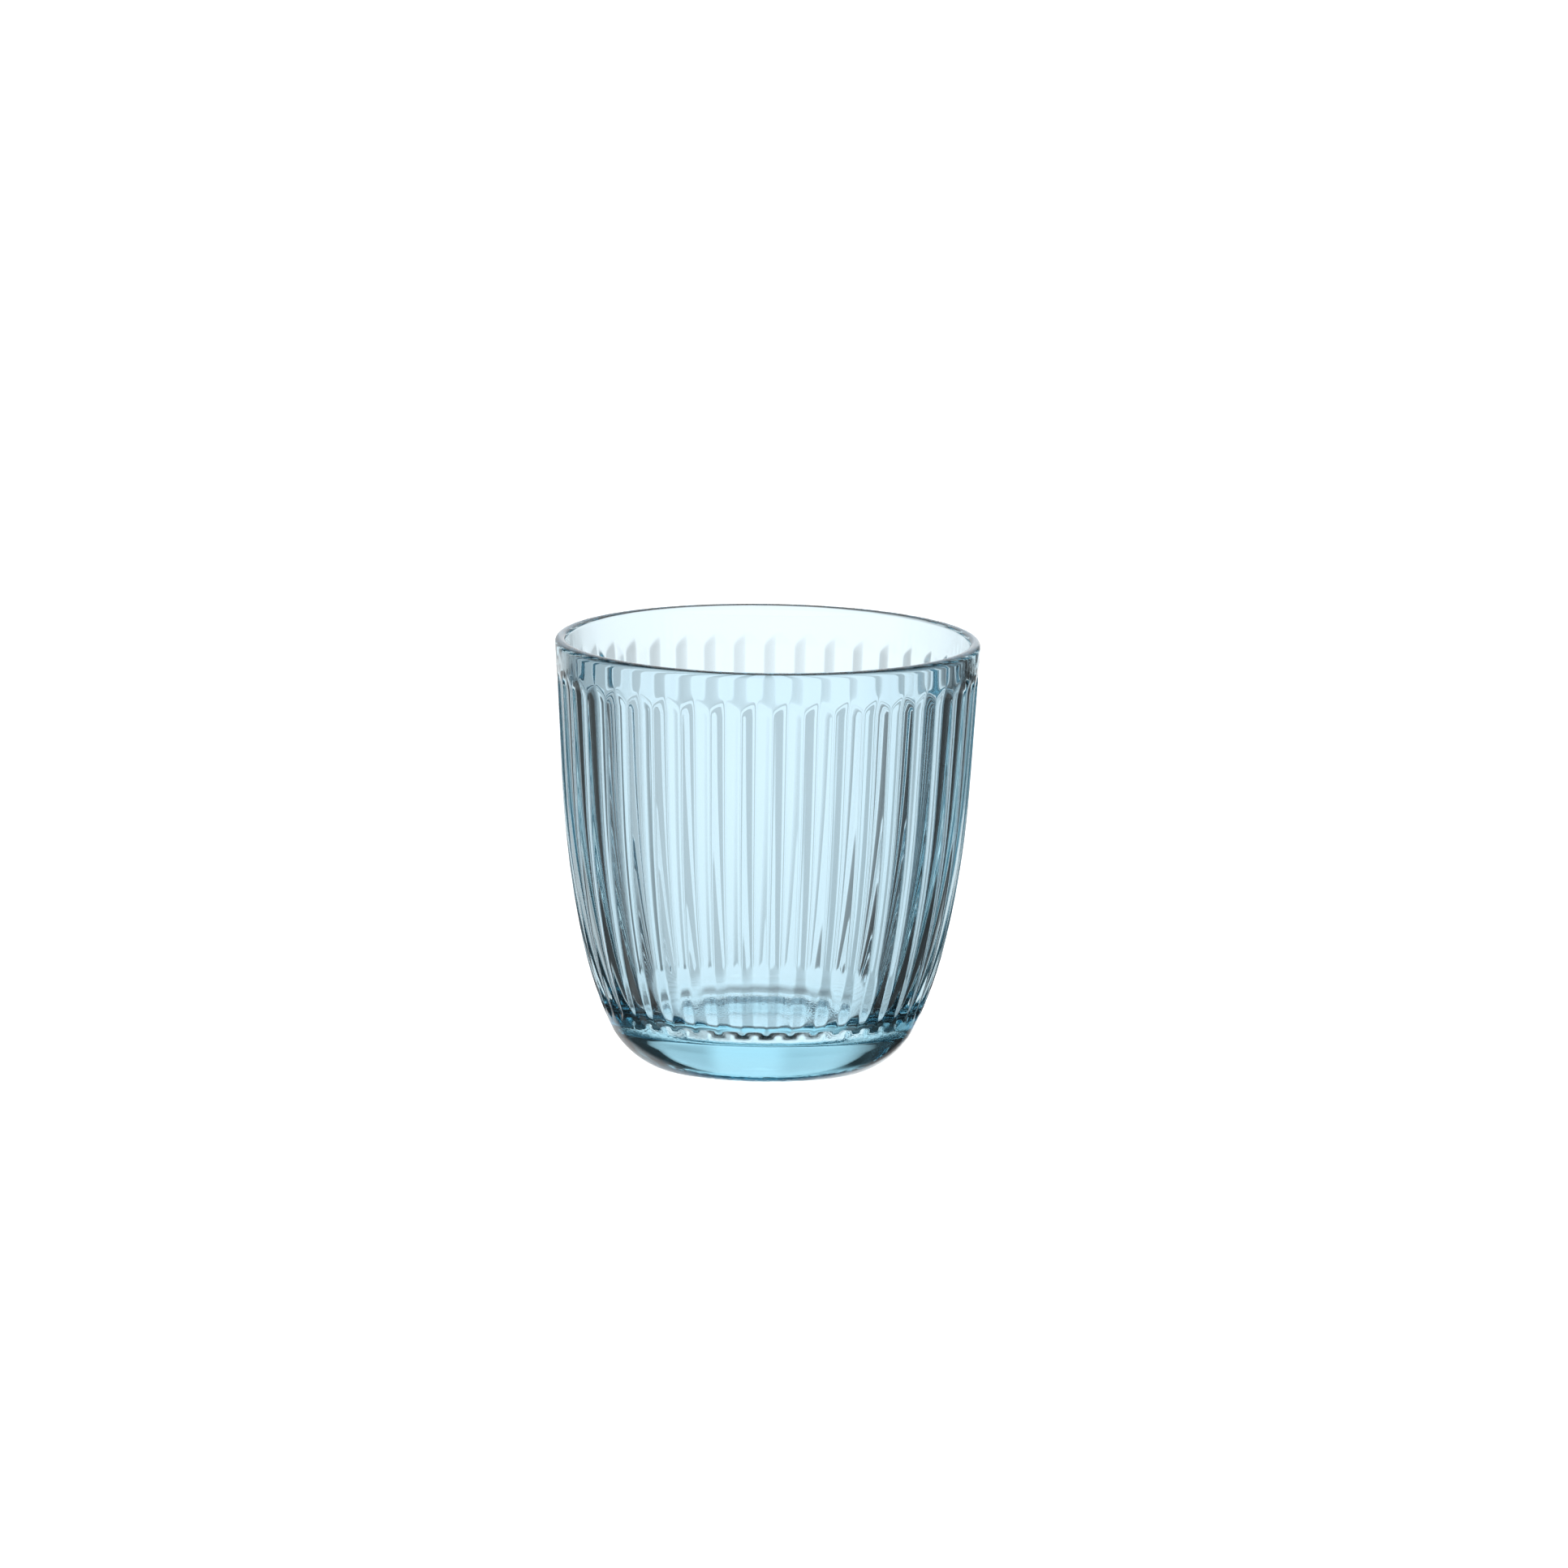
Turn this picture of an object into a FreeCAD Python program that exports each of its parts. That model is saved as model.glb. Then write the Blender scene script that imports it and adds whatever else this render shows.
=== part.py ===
"""Pressed-glass tumbler: one piece of tinted glass, with upright flutes round the outside.

The glass stands on the XY plane with its axis along Z. Every length is in millimetres and every
angle in degrees. A side angle is measured from the vertical, and grows as a side turns in under
the glass.
"""

import FreeCAD
import Part
import math
import os

from FreeCAD import Vector

# Driving dimensions
HEIGHT = 85.0
RIM_RADIUS = 42.1
LIP_THICKNESS = 2.3
FLOOR_HEIGHT = 9.0
BASE_LINE_HEIGHT = 7.4

# Outer side, from the lip down: a straight taper, two arcs, and a tighter arc under the base line
TAPER_ANGLE = 3.4
TAPER_LENGTH = 27.9
UPPER_ARC = {"radius": 195.0, "to_angle": 13.1}
LOWER_ARC = {"radius": 74.5}
HEEL_ARC = {"from_angle": 27.5, "to_angle": 65.0}

# Underside: a flat ring that the glass stands on, round a shallow hollow
RING_WIDTH = 3.0
HOLLOW_DEPTH = 1.0

# Inner side, from the lip down: a straight taper, two arcs, and the corner round the floor
INNER_TAPER_ANGLE = 4.3
INNER_TAPER_LENGTH = 26.0
INNER_UPPER_ARC = {"radius": 170.0, "to_angle": 15.5}
INNER_CORNER_ARC = {"radius": 10.0, "from_angle": 25.8}

# Flutes: shallow V grooves of two flat facets, with a narrow land between each two
FLUTE_COUNT = 42
FLUTE_DEPTH = 0.6
LAND_WIDTH = 0.4
FLUTE_TOP = 80.4
FLUTE_BOTTOM = 8.6
RUN_OUT_TOP = 5.0
RUN_OUT_BOTTOM = 2.0
RUN_OUT_CLEARANCE = 0.1
CUTTER_OVERLAP = 0.6
CUTTER_REACH = 3.0
RUN_OUT_SECTIONS = 5
BODY_SECTIONS = 8


class Outline:
    """A chain of straight lines and arcs in the XZ plane, where X is the radius."""

    def __init__(self, radius, height):
        self.at = Vector(radius, 0, height)
        self.edges = []

    def line_to(self, radius, height):
        end = Vector(radius, 0, height)
        self.edges.append(Part.LineSegment(self.at, end).toShape())
        self.at = end

    def arc_to(self, middle, end):
        self.edges.append(Part.Arc(self.at, middle, end).toShape())
        self.at = end

    def taper_down(self, angle, drop):
        self.line_to(self.at.x - drop * math.tan(math.radians(angle)), self.at.z - drop)

    def curve_in(self, radius, from_angle, to_angle):
        """An arc that goes down and turns in, with its centre on the axis side."""
        centre = self.at - radius * side_normal(from_angle)
        middle = centre + radius * side_normal((from_angle + to_angle) / 2)
        self.arc_to(middle, centre + radius * side_normal(to_angle))


def side_normal(angle):
    """The outward normal of a side at this angle from the vertical."""
    turned = math.radians(angle)
    return Vector(math.cos(turned), 0, -math.sin(turned))


def drop_share(from_angle, to_angle):
    """How far an arc between these side angles goes down, as a share of its radius."""
    return math.sin(math.radians(to_angle)) - math.sin(math.radians(from_angle))


def angle_after_drop(radius, from_angle, drop):
    """The side angle that an arc has reached when it has gone down by drop."""
    return math.degrees(math.asin(math.sin(math.radians(from_angle)) + drop / radius))


def outer_side():
    """The outer side without its flutes, from the widest point of the lip to the ring."""
    side = Outline(RIM_RADIUS, HEIGHT - LIP_THICKNESS / 2)
    side.taper_down(TAPER_ANGLE, TAPER_LENGTH)
    side.curve_in(UPPER_ARC["radius"], TAPER_ANGLE, UPPER_ARC["to_angle"])
    base_line_angle = angle_after_drop(
        LOWER_ARC["radius"], UPPER_ARC["to_angle"], side.at.z - BASE_LINE_HEIGHT
    )
    side.curve_in(LOWER_ARC["radius"], UPPER_ARC["to_angle"], base_line_angle)
    heel_radius = BASE_LINE_HEIGHT / drop_share(HEEL_ARC["from_angle"], HEEL_ARC["to_angle"])
    side.curve_in(heel_radius, HEEL_ARC["from_angle"], HEEL_ARC["to_angle"])
    return side


def inner_side():
    """The inner side, from the lip to the centre of the floor."""
    side = Outline(RIM_RADIUS - LIP_THICKNESS, HEIGHT - LIP_THICKNESS / 2)
    upper = INNER_UPPER_ARC
    corner = INNER_CORNER_ARC
    side.taper_down(INNER_TAPER_ANGLE, INNER_TAPER_LENGTH)
    side.curve_in(upper["radius"], INNER_TAPER_ANGLE, upper["to_angle"])
    corner_top = FLOOR_HEIGHT + corner["radius"] * drop_share(corner["from_angle"], 90)
    lower_radius = (side.at.z - corner_top) / drop_share(upper["to_angle"], corner["from_angle"])
    side.curve_in(lower_radius, upper["to_angle"], corner["from_angle"])
    side.curve_in(corner["radius"], corner["from_angle"], 90)
    side.line_to(0, FLOOR_HEIGHT)
    return side


def plain_glass():
    """The whole glass before its flutes are cut: the closed outline turned about Z."""
    outer = outer_side()
    inner = inner_side()
    lip = Outline(RIM_RADIUS, HEIGHT - LIP_THICKNESS / 2)
    lip.arc_to(
        Vector(RIM_RADIUS - LIP_THICKNESS / 2, 0, HEIGHT),
        Vector(RIM_RADIUS - LIP_THICKNESS, 0, HEIGHT - LIP_THICKNESS / 2),
    )
    under = Outline(outer.at.x, 0)
    hollow_radius = outer.at.x - RING_WIDTH
    under.line_to(hollow_radius, 0)
    dome_radius = (hollow_radius**2 + HOLLOW_DEPTH**2) / (2 * HOLLOW_DEPTH)
    half_turn = math.asin(hollow_radius / dome_radius) / 2
    under.arc_to(
        Vector(
            dome_radius * math.sin(half_turn),
            0,
            HOLLOW_DEPTH - dome_radius * (1 - math.cos(half_turn)),
        ),
        Vector(0, 0, HOLLOW_DEPTH),
    )
    under.line_to(0, FLOOR_HEIGHT)
    edges = Part.sortEdges(outer.edges + lip.edges + inner.edges + under.edges)[0]
    face = Part.Face(Part.Wire(edges))
    return face.revolve(Vector(0, 0, 0), Vector(0, 0, 1), 360)


def side_radius(side, height):
    """The radius of an outer side at this height."""
    across = Part.LineSegment(Vector(0, 0, height), Vector(2 * RIM_RADIUS, 0, height)).toShape()
    for edge in side.edges:
        distance, points, _ = edge.distToShape(across)
        if distance < 1e-6:
            return points[0][0].x
    raise ValueError(f"the side doesn't reach a height of {height}")


def ease(share):
    """A smooth step from 0 to 1, level at both ends."""
    kept = min(1.0, max(0.0, share))
    return kept * kept * (3 - 2 * kept)


def flute_depth(height):
    """How deep the crease of a flute is at this height. It is just negative at both ends."""
    share = ease((FLUTE_TOP - height) / RUN_OUT_TOP) * ease((height - FLUTE_BOTTOM) / RUN_OUT_BOTTOM)
    return FLUTE_DEPTH * share - RUN_OUT_CLEARANCE * (1 - share)


def flute_section(side, height):
    """The cutter's outline at this height: the V of the groove, closed outside the wall."""
    wall = side_radius(side, height)
    half_chord = (2 * math.pi * wall / FLUTE_COUNT - LAND_WIDTH) / 2
    land_edge = math.sqrt(wall**2 - half_chord**2)
    slope = (land_edge - (wall - FLUTE_DEPTH)) / half_chord
    half = half_chord + CUTTER_OVERLAP
    crease = wall - flute_depth(height)
    edge = crease + slope * half
    outside = wall + CUTTER_REACH
    corners = [Vector(crease, 0, height), Vector(edge, half, height), Vector(outside, half, height)]
    corners += [Vector(outside, -half, height), Vector(edge, -half, height)]
    return Part.makePolygon([*corners, corners[0]])


def flute_heights():
    """The heights of the cutter's sections: close together in the run-outs, wider between them."""
    low_end = FLUTE_BOTTOM + RUN_OUT_BOTTOM
    high_end = FLUTE_TOP - RUN_OUT_TOP
    low_step = RUN_OUT_BOTTOM / (RUN_OUT_SECTIONS - 1)
    high_step = RUN_OUT_TOP / (RUN_OUT_SECTIONS - 1)
    body_step = (high_end - low_end) / (BODY_SECTIONS + 1)
    low = [FLUTE_BOTTOM + low_step * i for i in range(RUN_OUT_SECTIONS)]
    body = [low_end + body_step * (i + 1) for i in range(BODY_SECTIONS)]
    high = [high_end + high_step * i for i in range(RUN_OUT_SECTIONS)]
    return low + body + high


def flute_cutter():
    """One groove as a solid, on the +X side of the glass."""
    side = outer_side()
    return Part.makeLoft([flute_section(side, height) for height in flute_heights()], True)


def cut_flutes(glass):
    """The glass with a flute at every pitch round it, the first centred half a pitch from +X."""
    cutter = flute_cutter()
    pitch_angle = 360 / FLUTE_COUNT
    cutters = []
    for number in range(FLUTE_COUNT):
        turned = cutter.copy()
        turned.rotate(Vector(0, 0, 0), Vector(0, 0, 1), (number + 0.5) * pitch_angle)
        cutters.append(turned)
    return glass.cut(cutters)


def main():
    os.makedirs("parts", exist_ok=True)
    tumbler = cut_flutes(plain_glass())
    solid = tumbler.Solids[0]
    print("solids", len(tumbler.Solids), "valid", solid.isValid(), "faces", len(solid.Faces))
    print("volume cm3", solid.Volume / 1000, "box", solid.BoundBox)
    solid.exportStep("parts/tumbler.step")


main()
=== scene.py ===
"""Fluted tumbler of pale blue pressed glass, on a pale floor under soft studio light.

Lengths are in millimetres until a mesh is made, which is in metres. Side angles are in degrees from
the vertical, and grow as a side turns in under the glass.
"""

import math

import bpy
import numpy as np
from mathutils import Euler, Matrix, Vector


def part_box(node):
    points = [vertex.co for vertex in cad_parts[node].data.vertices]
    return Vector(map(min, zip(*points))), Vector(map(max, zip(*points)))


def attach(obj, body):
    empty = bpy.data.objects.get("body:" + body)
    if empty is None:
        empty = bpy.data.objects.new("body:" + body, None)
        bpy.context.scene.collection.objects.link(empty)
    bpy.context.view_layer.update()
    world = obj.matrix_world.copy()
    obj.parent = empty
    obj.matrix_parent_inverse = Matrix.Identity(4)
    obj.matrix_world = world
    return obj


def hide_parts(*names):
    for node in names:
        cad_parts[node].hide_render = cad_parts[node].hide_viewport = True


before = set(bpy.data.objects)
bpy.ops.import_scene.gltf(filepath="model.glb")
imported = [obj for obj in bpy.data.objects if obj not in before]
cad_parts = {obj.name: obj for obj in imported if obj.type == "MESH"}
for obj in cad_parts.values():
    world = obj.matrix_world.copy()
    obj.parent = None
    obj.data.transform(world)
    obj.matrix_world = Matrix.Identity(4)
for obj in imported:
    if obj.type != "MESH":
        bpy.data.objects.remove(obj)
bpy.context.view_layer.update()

MM = 0.001

# The glass's overall size comes from its CAD node
low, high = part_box("tumbler")
HEIGHT = high.z / MM
RIM_RADIUS = (high.x - low.x) / 2 / MM

LIP_THICKNESS = 2.3
FLOOR_HEIGHT = 9.0
BASE_LINE_HEIGHT = 7.4
WIDEST_HEIGHT = HEIGHT - LIP_THICKNESS / 2

# Outer side, from the lip down
TAPER_ANGLE = 3.4
TAPER_LENGTH = 27.9
UPPER_ARC = {"radius": 195.0, "to_angle": 13.1}
LOWER_ARC_RADIUS = 74.5
HEEL_ANGLES = (27.5, 65.0)

# Underside
RING_WIDTH = 3.0
HOLLOW_DEPTH = 1.0

# Inner side, from the lip down
INNER_TAPER_ANGLE = 4.3
INNER_TAPER_LENGTH = 26.0
INNER_UPPER_ARC = {"radius": 170.0, "to_angle": 15.5}
INNER_CORNER_ARC = {"radius": 10.0, "from_angle": 25.8}

# Flutes: shallow V grooves, each of two flat facets with a crease between them
FLUTE_COUNT = 42
FLUTE_DEPTH = 0.6
CREASE_WIDTH = 0.5
RIDGE_SOFTNESS = 0.08
END_SOFTNESS = 0.2
END_LIFT = 0.5
FLUTE_TOP = 82.4
FLUTE_BOTTOM = 7.6
RUN_OUT_TOP = 6.5
RUN_OUT_BOTTOM = 5.0

# The base below the flutes stands out by this much from the side above it
BASE_STEP = 0.06

# Mesh: columns round one flute, and rows along each stretch of the outline
COLUMNS_PER_FLUTE = 18
ROWS = {
    "base": 2,
    "low_run_out": 13,
    "flutes": 21,
    "high_run_out": 23,
    "band": 3,
    "heel": 12,
    "hollow": 7,
    "lip": 12,
    "inner_taper": 5,
    "inner_upper": 6,
    "inner_lower": 5,
    "inner_corner": 12,
    "floor": 5,
}

# Mould ripples and the stippled ring, in millimetres
RIPPLE_WIDTH = 5.0
RIPPLE_STRETCH = 4.0
RIPPLE_HEIGHT = 0.006
STIPPLE_PITCH = 0.8
STIPPLE_HEIGHT = 0.1
STIPPLE_TOP = 1.2

# Light lost in each metre of glass, as red, green and blue, is density * (1 - colour)
TINT_DENSITY = 40.0
TINT_COLOUR = (1 - 14 / 40, 1 - 4.5 / 40, 1 - 2 / 40, 1.0)
SURFACE_TINT = "#e6f3f9"
REFRACTION_INDEX = 1.52

# Floor and booth
FLOOR_GAP = 0.05 * MM
FLOOR_SIZE = 8.0
TABLE_GLOW = 1.1
BOOTH_PEAK = 1.36

# Compass angle in degrees from straight behind the glass, positive to the right, and the grey of
# the booth there: low down, where most of what shows through the glass is, and high up
LOW_LIGHT = [
    (-180, "#e6e6e6"),
    (-110, "#d4d4d4"),
    (-84, "#3c3c3c"),
    (-40, "#3c3c3c"),
    (-28, "#c4c4c4"),
    (-12, "#c4c4c4"),
    (-5, "#f4f4f4"),
    (8, "#f4f4f4"),
    (15, "#8c8c8c"),
    (24, "#303030"),
    (100, "#303030"),
    (134, "#d4d4d4"),
]
HIGH_LIGHT = [
    (-180, "#1c1c1c"),
    (-58, "#1c1c1c"),
    (-20, "#ffffff"),
    (20, "#ffffff"),
    (58, "#1c1c1c"),
]
# The dark below the glass
UNDERNEATH = "#121212"

# Sines of the height angle: where the low light starts to change, where it is all high light, and
# the same for the dark below
WALL_FOOT = 0.05
WALL_TOP = 0.35
STEEP_FROM = -0.6
STEEP_TO = -0.78

# Camera: metres, millimetres and degrees
CAMERA_DISTANCE = 5.0
CAMERA_HEIGHT = 0.934
CAMERA_AIM = Vector((3.6 * MM, 0, 55.8 * MM))
CAMERA_TURN = 2.8
CAMERA_ROLL = 0.85
SENSOR_WIDTH = 36.0
FOCAL_LENGTH = 589.5
CLIP_RANGE = (0.1, 50.0)

# Enough bounces for light that runs inside the walls
BOUNCES = 48
GLOSSY_BOUNCES = 24


def linear(hex_colour):
    """An sRGB hex colour as linear red, green, blue and an alpha of 1."""
    channels = [int(hex_colour[i : i + 2], 16) / 255 for i in (1, 3, 5)]
    return [c / 12.92 if c <= 0.04045 else ((c + 0.055) / 1.055) ** 2.4 for c in channels] + [1.0]


def add_node(tree, kind, settings=None, inputs=None, links=None):
    """Adds one node, sets its properties and input values, and links its inputs from other sockets."""
    node = tree.nodes.new(kind)
    for name, value in (settings or {}).items():
        setattr(node, name, value)
    for name, value in (inputs or {}).items():
        node.inputs[name].default_value = value
    for name, socket in (links or {}).items():
        tree.links.new(socket, node.inputs[name])
    return node


def taper(start, angle, drop, rows):
    """Points down a straight side from start. The radius falls by tan(angle) times the way down."""
    down = np.linspace(0, drop, rows + 1)[1:]
    return np.stack([start[0] - down * math.tan(math.radians(angle)), start[1] - down], 1)


def arc(start, radius, from_angle, to_angle, rows):
    """Points down an arc from start. Its centre is on the axis side, so at each side angle a the
    radius is that of the centre plus radius * cos(a), and the height that of the centre less
    radius * sin(a)."""
    a = np.radians(np.linspace(from_angle, to_angle, rows + 1))
    r = start[0] + radius * (np.cos(a) - np.cos(a[0]))
    z = start[1] - radius * (np.sin(a) - np.sin(a[0]))
    return np.stack([r, z], 1)[1:]


def drop_share(from_angle, to_angle):
    """How far an arc between these side angles goes down, as a share of its radius."""
    return math.sin(math.radians(to_angle)) - math.sin(math.radians(from_angle))


def ridge_radius(z):
    """The radius of the outer side at each height, over the ridges: the taper down to its end, then
    the two arcs, each as centre radius + sqrt(arc radius^2 - (centre height - z)^2)."""
    slope = math.tan(math.radians(TAPER_ANGLE))
    z1 = WIDEST_HEIGHT - TAPER_LENGTH
    r1 = RIM_RADIUS - TAPER_LENGTH * slope
    radius1 = UPPER_ARC["radius"]
    z2 = z1 - radius1 * drop_share(TAPER_ANGLE, UPPER_ARC["to_angle"])
    turn = math.cos(math.radians(TAPER_ANGLE)) - math.cos(math.radians(UPPER_ARC["to_angle"]))
    r2 = r1 - radius1 * turn

    def on_arc(start_r, start_z, radius, angle):
        centre_r = start_r - radius * math.cos(math.radians(angle))
        centre_z = start_z + radius * math.sin(math.radians(angle))
        return centre_r + np.sqrt(radius**2 - (centre_z - z) ** 2)

    straight = r1 + (z - z1) * slope
    upper = on_arc(r1, z1, radius1, TAPER_ANGLE)
    lower = on_arc(r2, z2, LOWER_ARC_RADIUS, UPPER_ARC["to_angle"])
    return np.where(z > z1, straight, np.where(z > z2, upper, lower))


def ease(share):
    """A smooth step from 0 to 1, level at both ends: 3 s^2 - 2 s^3."""
    s = np.clip(share, 0, 1)
    return s * s * (3 - 2 * s)


def soft_min(a, b, softness):
    """The smaller of a and b, with the corner between them rounded over about the softness."""
    return (a + b - np.sqrt((a - b) ** 2 + softness**2)) / 2


def fluted_radius(wall, z, angle):
    """The outer radius with its flutes. Over one facet the side is the straight line from the
    crease to the ridge: r = a b sin(h) / (a sin(p) + b sin(h - p)), with a and b the radii at the
    crease and the ridge, h half a pitch and p the angle from the crease. At both ends the whole V
    moves out of the wall, so that it ends in a point."""
    half_pitch = math.pi / FLUTE_COUNT
    p = np.abs(angle % (2 * half_pitch) - half_pitch)
    p = np.sqrt(p**2 + (CREASE_WIDTH / 2 / wall) ** 2)
    share = ease((FLUTE_TOP - z) / RUN_OUT_TOP) * ease((z - FLUTE_BOTTOM) / RUN_OUT_BOTTOM)
    b = wall + (FLUTE_DEPTH + END_LIFT) * (1 - share)
    a = b - FLUTE_DEPTH
    facet = a * b * math.sin(half_pitch) / (a * np.sin(p) + b * np.sin(half_pitch - p))
    return soft_min(wall, facet, RIDGE_SOFTNESS + (END_SOFTNESS - RIDGE_SOFTNESS) * (1 - share))


def outer_heights():
    """The heights of the rows up the fluted side: close together in the run-outs."""
    low_end = FLUTE_BOTTOM + RUN_OUT_BOTTOM
    high_end = FLUTE_TOP - RUN_OUT_TOP
    stretches = [
        np.linspace(BASE_LINE_HEIGHT + BASE_STEP, FLUTE_BOTTOM, ROWS["base"] + 1)[:-1],
        np.linspace(FLUTE_BOTTOM, low_end, ROWS["low_run_out"] + 1)[:-1],
        np.linspace(low_end, high_end, ROWS["flutes"] + 1)[:-1],
        np.linspace(high_end, FLUTE_TOP, ROWS["high_run_out"] + 1)[:-1],
        np.linspace(FLUTE_TOP, WIDEST_HEIGHT, ROWS["band"] + 1),
    ]
    return np.concatenate(stretches)


def inner_side():
    """The inner side from the lip to the edge of the floor: a taper and three arcs."""
    upper = INNER_UPPER_ARC
    corner = INNER_CORNER_ARC
    start = np.array([RIM_RADIUS - LIP_THICKNESS, WIDEST_HEIGHT])
    straight = taper(start, INNER_TAPER_ANGLE, INNER_TAPER_LENGTH, ROWS["inner_taper"])
    first = arc(
        straight[-1], upper["radius"], INNER_TAPER_ANGLE, upper["to_angle"], ROWS["inner_upper"]
    )
    corner_top = FLOOR_HEIGHT + corner["radius"] * drop_share(corner["from_angle"], 90)
    radius = (first[-1][1] - corner_top) / drop_share(upper["to_angle"], corner["from_angle"])
    second = arc(first[-1], radius, upper["to_angle"], corner["from_angle"], ROWS["inner_lower"])
    third = arc(second[-1], corner["radius"], corner["from_angle"], 90, ROWS["inner_corner"])
    return np.concatenate([straight, first, second, third])


def revolved_grid(profile, angles):
    """Vertices and faces of a profile turned about Z. Each row is one profile point at every angle,
    with its own radius for each. The first and last rows are single points on the axis."""
    radius, height = profile
    rows, columns = radius.shape
    z = np.broadcast_to(height[:, None], radius.shape)
    ring = np.stack([radius * np.cos(angles), radius * np.sin(angles), z], 2)
    vertices = np.concatenate([ring[0, :1], ring[1:-1].reshape(-1, 3), ring[-1, :1]])
    index = 1 + np.arange((rows - 2) * columns).reshape(rows - 2, columns)
    across = np.roll(index, -1, 1)
    quads = np.stack([index[:-1], across[:-1], across[1:], index[1:]], 2).reshape(-1, 4)
    bottom = np.stack([across[0], index[0], np.zeros(columns, int)], 1)
    top = np.stack([index[-1], across[-1], np.full(columns, len(vertices) - 1)], 1)
    return vertices, [*quads.tolist(), *bottom.tolist(), *top.tolist()]


def tumbler_mesh():
    """The whole glass as one closed grid: underside, heel, fluted side, lip, inner side and floor."""
    columns = FLUTE_COUNT * COLUMNS_PER_FLUTE
    angles = (np.arange(columns) + 0.5) * 2 * math.pi / columns

    heights = outer_heights()
    wall = ridge_radius(heights)[:, None]
    side = fluted_radius(wall, heights[:, None], angles[None, :])

    heel_from, heel_to = HEEL_ANGLES
    base_line = (ridge_radius(np.array([BASE_LINE_HEIGHT]))[0] + BASE_STEP, BASE_LINE_HEIGHT)
    heel_radius = BASE_LINE_HEIGHT / drop_share(heel_from, heel_to)
    heel = arc(base_line, heel_radius, heel_from, heel_to, ROWS["heel"])[::-1]

    ring_outer = heel[0][0]
    hollow_radius = ring_outer - RING_WIDTH
    dome_radius = (hollow_radius**2 + HOLLOW_DEPTH**2) / (2 * HOLLOW_DEPTH)
    hollow_r = np.linspace(0, hollow_radius, ROWS["hollow"] + 1)
    hollow_z = HOLLOW_DEPTH - dome_radius + np.sqrt(dome_radius**2 - hollow_r**2)
    underside = np.stack([hollow_r, hollow_z], 1)

    turn = np.linspace(0, math.pi, ROWS["lip"] + 1)[1:]
    half = LIP_THICKNESS / 2
    lip_r = RIM_RADIUS - half + half * np.cos(turn)
    lip = np.stack([lip_r, WIDEST_HEIGHT + half * np.sin(turn)], 1)

    inside = inner_side()
    floor_r = np.linspace(inside[-1][0], 0, ROWS["floor"] + 1)[1:]
    floor = np.stack([floor_r, np.full(ROWS["floor"], FLOOR_HEIGHT)], 1)

    below = np.concatenate([underside, heel])
    above = np.concatenate([lip, inside, floor])
    round_below = np.repeat(below[:, :1], columns, 1)
    round_above = np.repeat(above[:, :1], columns, 1)
    radius = np.concatenate([round_below, side, round_above])
    height = np.concatenate([below[:, 1], heights, above[:, 1]])
    vertices, faces = revolved_grid((radius, height), angles)

    mesh = bpy.data.meshes.new("fluted_tumbler")
    mesh.from_pydata((vertices * MM).tolist(), [], faces)
    mesh.update()
    mesh.shade_smooth()
    return mesh


def tinted_glass():
    """Soda-lime glass, pressed in a mould and fire-polished: clear and glossy. The pale blue body tint
    deepens where light runs a long way inside the wall. Faint ripples, long up the wall, are left
    by the mould and bend what shows through, and the ring that it stands on is stippled."""
    material = bpy.data.materials.new("pressed_blue_soda_lime_glass")
    material.use_nodes = True
    tree = material.node_tree
    tree.nodes.clear()
    place = add_node(tree, "ShaderNodeTexCoord").outputs["Object"]

    stretched = add_node(
        tree, "ShaderNodeMapping", inputs={"Scale": (1, 1, 1 / RIPPLE_STRETCH)}, links={"Vector": place}
    )
    ripple = add_node(
        tree,
        "ShaderNodeTexNoise",
        inputs={"Scale": 1 / (RIPPLE_WIDTH * MM), "Detail": 1.0},
        links={"Vector": stretched.outputs["Vector"]},
    )
    waves = add_node(
        tree,
        "ShaderNodeBump",
        inputs={"Distance": RIPPLE_HEIGHT * MM},
        links={"Height": ripple.outputs[0]},
    )

    dots = add_node(
        tree,
        "ShaderNodeTexVoronoi",
        {"feature": "SMOOTH_F1"},
        inputs={"Scale": 1 / (STIPPLE_PITCH * MM)},
        links={"Vector": place},
    )
    up = add_node(tree, "ShaderNodeSeparateXYZ", links={"Vector": place})
    on_ring = add_node(
        tree,
        "ShaderNodeMapRange",
        inputs={"From Min": STIPPLE_TOP * MM, "From Max": 0.0},
        links={"Value": up.outputs["Z"]},
    )
    stipple = add_node(
        tree,
        "ShaderNodeBump",
        inputs={"Distance": STIPPLE_HEIGHT * MM},
        links={
            "Height": dots.outputs["Distance"],
            "Strength": on_ring.outputs["Result"],
            "Normal": waves.outputs["Normal"],
        },
    )

    surface = add_node(
        tree,
        "ShaderNodeBsdfPrincipled",
        inputs={
            "Base Color": linear(SURFACE_TINT),
            "Roughness": 0.0,
            "IOR": REFRACTION_INDEX,
            "Transmission Weight": 1.0,
        },
        links={"Normal": stipple.outputs["Normal"]},
    )
    tint = add_node(
        tree,
        "ShaderNodeVolumeAbsorption",
        inputs={"Color": TINT_COLOUR, "Density": TINT_DENSITY},
    )
    add_node(
        tree,
        "ShaderNodeOutputMaterial",
        links={"Surface": surface.outputs["BSDF"], "Volume": tint.outputs["Volume"]},
    )
    return material


glass = bpy.data.objects.new("tumbler_glass", tumbler_mesh())
bpy.context.scene.collection.objects.link(glass)
glass.data.materials.append(tinted_glass())
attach(glass, "root")
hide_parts("tumbler")


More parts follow.
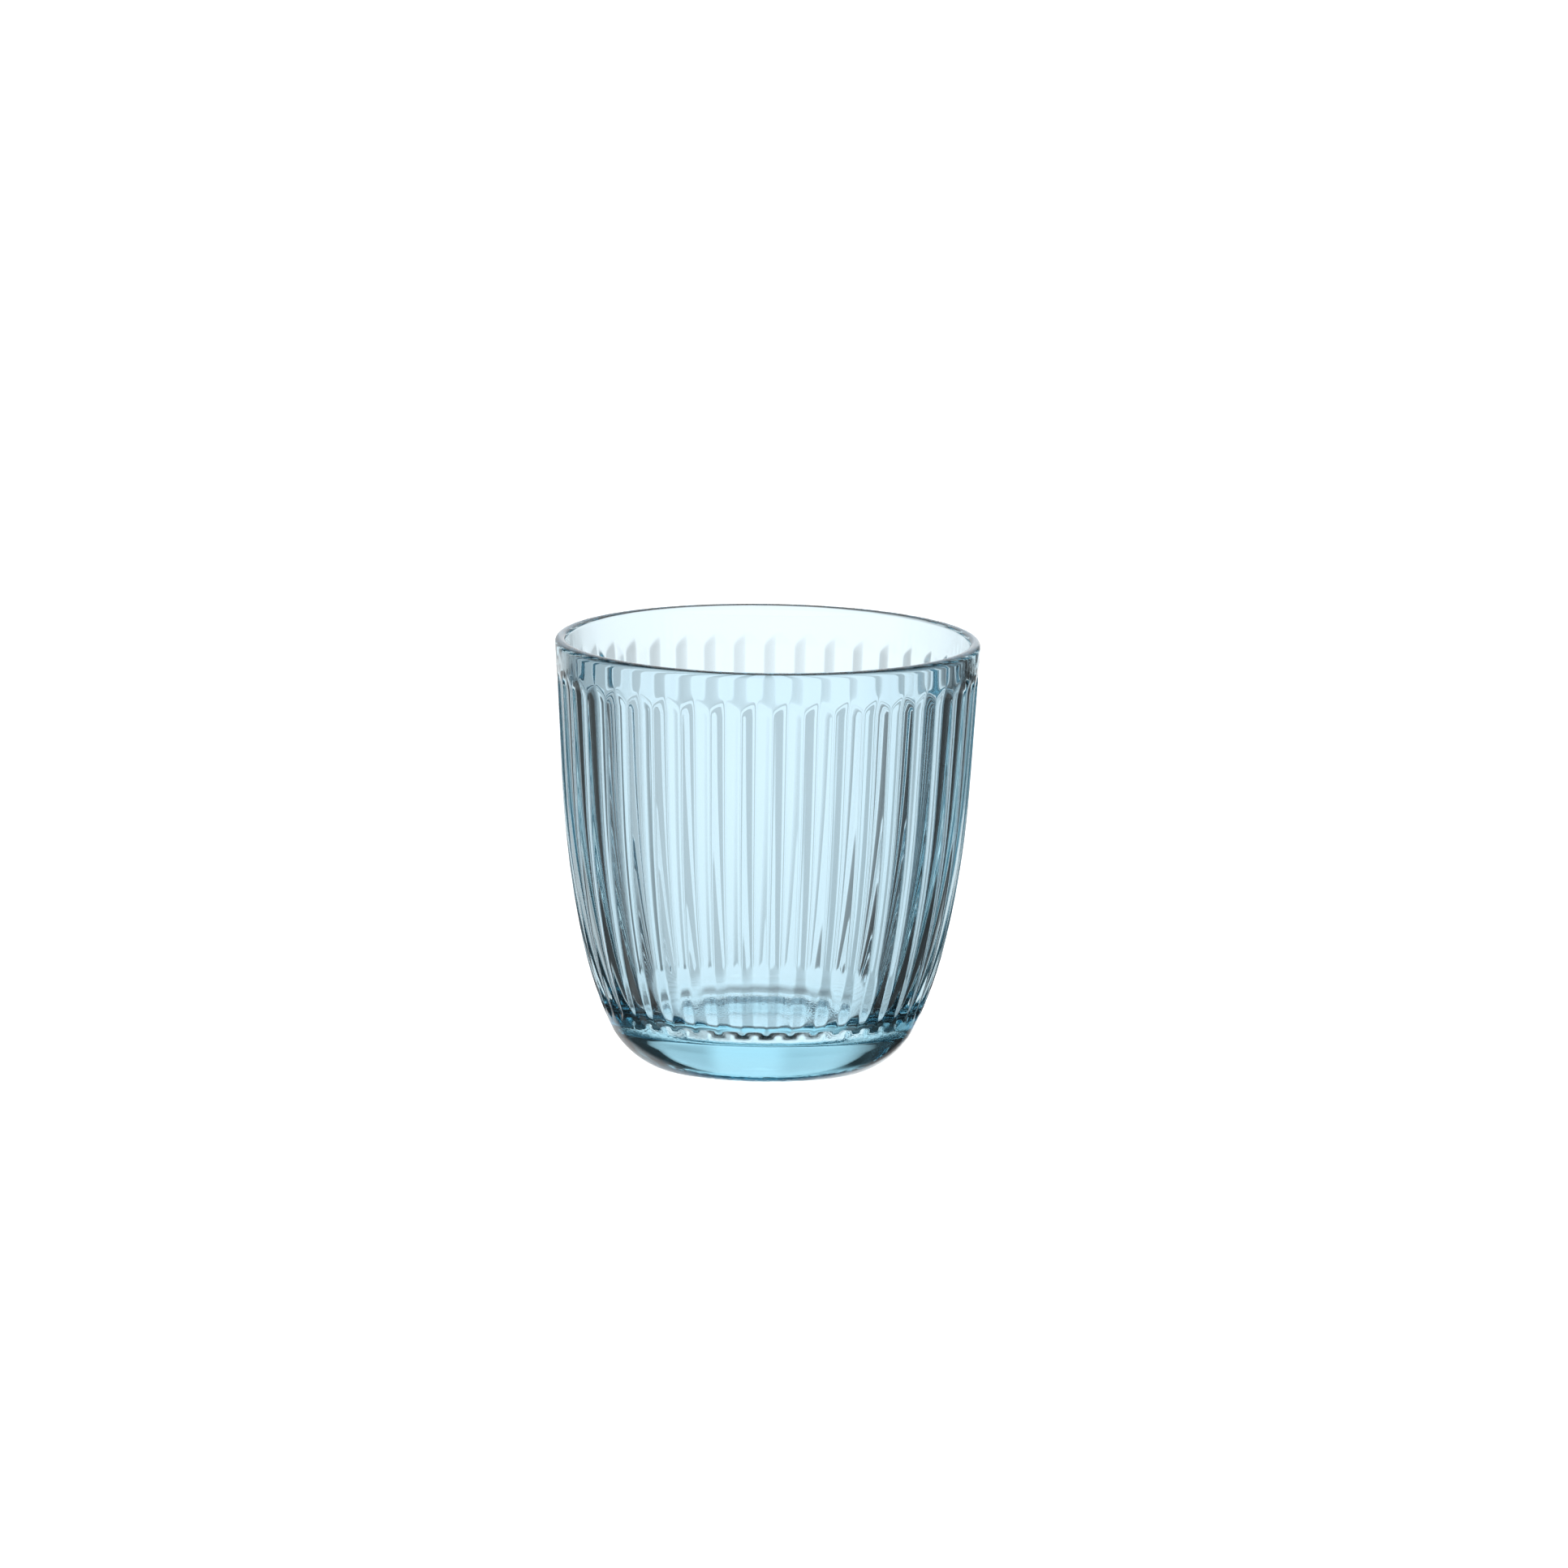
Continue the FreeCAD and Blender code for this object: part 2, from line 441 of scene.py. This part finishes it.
def lit_floor():
    """A white light table, wide enough to fill every view. Rays that leave through the glass look past
    it into the booth, so that the glass shows the booth's bright screens and dark flags."""
    half = FLOOR_SIZE / 2
    corners = [(-half, -half), (half, -half), (half, half), (-half, half)]
    mesh = bpy.data.meshes.new("light_table")
    mesh.from_pydata([(x, y, -FLOOR_GAP) for x, y in corners], [], [(0, 1, 2, 3)])
    material = bpy.data.materials.new("white_acrylic_light_table")
    material.use_nodes = True
    tree = material.node_tree
    tree.nodes.clear()
    acrylic = add_node(
        tree,
        "ShaderNodeBsdfPrincipled",
        inputs={
            "Base Color": linear("#f0f0f0"),
            "Roughness": 0.8,
            "Emission Color": linear("#ffffff"),
            "Emission Strength": TABLE_GLOW,
        },
    )
    add_node(tree, "ShaderNodeOutputMaterial", links={"Surface": acrylic.outputs["BSDF"]})
    mesh.materials.append(material)
    floor = bpy.data.objects.new("light_table", mesh)
    bpy.context.scene.collection.objects.link(floor)
    floor.visible_transmission = False
    floor.visible_glossy = False


def colour_ramp(tree, factor, stops):
    """A smooth ramp once round the compass: each stop is an angle from -180 to 180 degrees, which
    lies at (angle + 180) / 360 of the ramp, and an sRGB colour."""
    ramp = add_node(tree, "ShaderNodeValToRGB", links={"Fac": factor})
    elements = ramp.color_ramp.elements
    ramp.color_ramp.interpolation = "EASE"
    while len(elements) < len(stops):
        elements.new(1.0)
    for element, (angle, colour) in zip(elements, stops):
        element.position = (angle + 180) / 360
        element.color = linear(colour)
    return ramp.outputs["Color"]


def booth_light():
    """A neutral light booth round the glass: a white screen behind it, dark flags at both sides,
    dark below, and softer light from the front. The light changes with the compass angle
    atan2(x, y), which is 0 behind the glass, and with height. The camera sees plain white."""
    world = bpy.data.worlds.new("light_booth")
    world.use_nodes = True
    tree = world.node_tree
    tree.nodes.clear()
    direction = add_node(tree, "ShaderNodeTexCoord").outputs["Generated"]
    axes = add_node(tree, "ShaderNodeSeparateXYZ", links={"Vector": direction}).outputs
    compass = add_node(
        tree, "ShaderNodeMath", {"operation": "ARCTAN2"}, links={0: axes["X"], 1: axes["Y"]}
    )
    turn = add_node(
        tree,
        "ShaderNodeMapRange",
        inputs={"From Min": -math.pi, "From Max": math.pi},
        links={"Value": compass.outputs["Value"]},
    )
    rise = add_node(
        tree,
        "ShaderNodeMapRange",
        inputs={"From Min": WALL_FOOT, "From Max": WALL_TOP},
        links={"Value": axes["Z"]},
    )
    low_light = colour_ramp(tree, turn.outputs["Result"], LOW_LIGHT)
    high_light = colour_ramp(tree, turn.outputs["Result"], HIGH_LIGHT)
    seen = add_node(
        tree,
        "ShaderNodeMix",
        {"data_type": "RGBA"},
        links={0: rise.outputs["Result"], 6: low_light, 7: high_light},
    )
    steep = add_node(
        tree,
        "ShaderNodeMapRange",
        inputs={"From Min": STEEP_FROM, "From Max": STEEP_TO},
        links={"Value": axes["Z"]},
    )
    closed = add_node(
        tree,
        "ShaderNodeMix",
        {"data_type": "RGBA"},
        inputs={7: linear(UNDERNEATH)},
        links={0: steep.outputs["Result"], 6: seen.outputs[2]},
    )
    booth = add_node(
        tree,
        "ShaderNodeBackground",
        inputs={"Strength": BOOTH_PEAK},
        links={"Color": closed.outputs[2]},
    )
    white = add_node(
        tree,
        "ShaderNodeBackground",
        inputs={"Color": linear("#ffffff"), "Strength": TABLE_GLOW},
    )
    path = add_node(tree, "ShaderNodeLightPath")
    both = add_node(
        tree,
        "ShaderNodeMixShader",
        links={0: path.outputs["Is Camera Ray"], 1: booth.outputs[0], 2: white.outputs[0]},
    )
    add_node(tree, "ShaderNodeOutputWorld", links={"Surface": both.outputs["Shader"]})
    bpy.context.scene.world = world


def long_lens_camera():
    """A long lens well above and far from the glass, aimed at its middle, with a slight roll."""
    turn = math.radians(CAMERA_TURN)
    place = Vector(
        (CAMERA_DISTANCE * math.sin(turn), -CAMERA_DISTANCE * math.cos(turn), CAMERA_HEIGHT)
    )
    aim = CAMERA_AIM.copy()
    aim.rotate(Euler((0, 0, turn)))
    data = bpy.data.cameras.new("long_lens")
    data.sensor_width = SENSOR_WIDTH
    data.lens = FOCAL_LENGTH
    data.clip_start, data.clip_end = CLIP_RANGE
    camera = bpy.data.objects.new("long_lens", data)
    camera.location = place
    towards = (aim - place).to_track_quat("-Z", "Y").to_matrix()
    roll = Euler((0, 0, math.radians(CAMERA_ROLL))).to_matrix()
    camera.rotation_euler = (towards @ roll).to_euler()
    bpy.context.scene.collection.objects.link(camera)
    bpy.context.scene.camera = camera


lit_floor()
booth_light()
long_lens_camera()

scene = bpy.context.scene
scene.view_settings.view_transform = "Standard"
scene.cycles.max_bounces = BOUNCES
scene.cycles.transmission_bounces = BOUNCES
scene.cycles.glossy_bounces = GLOSSY_BOUNCES
scene.cycles.use_denoising = True
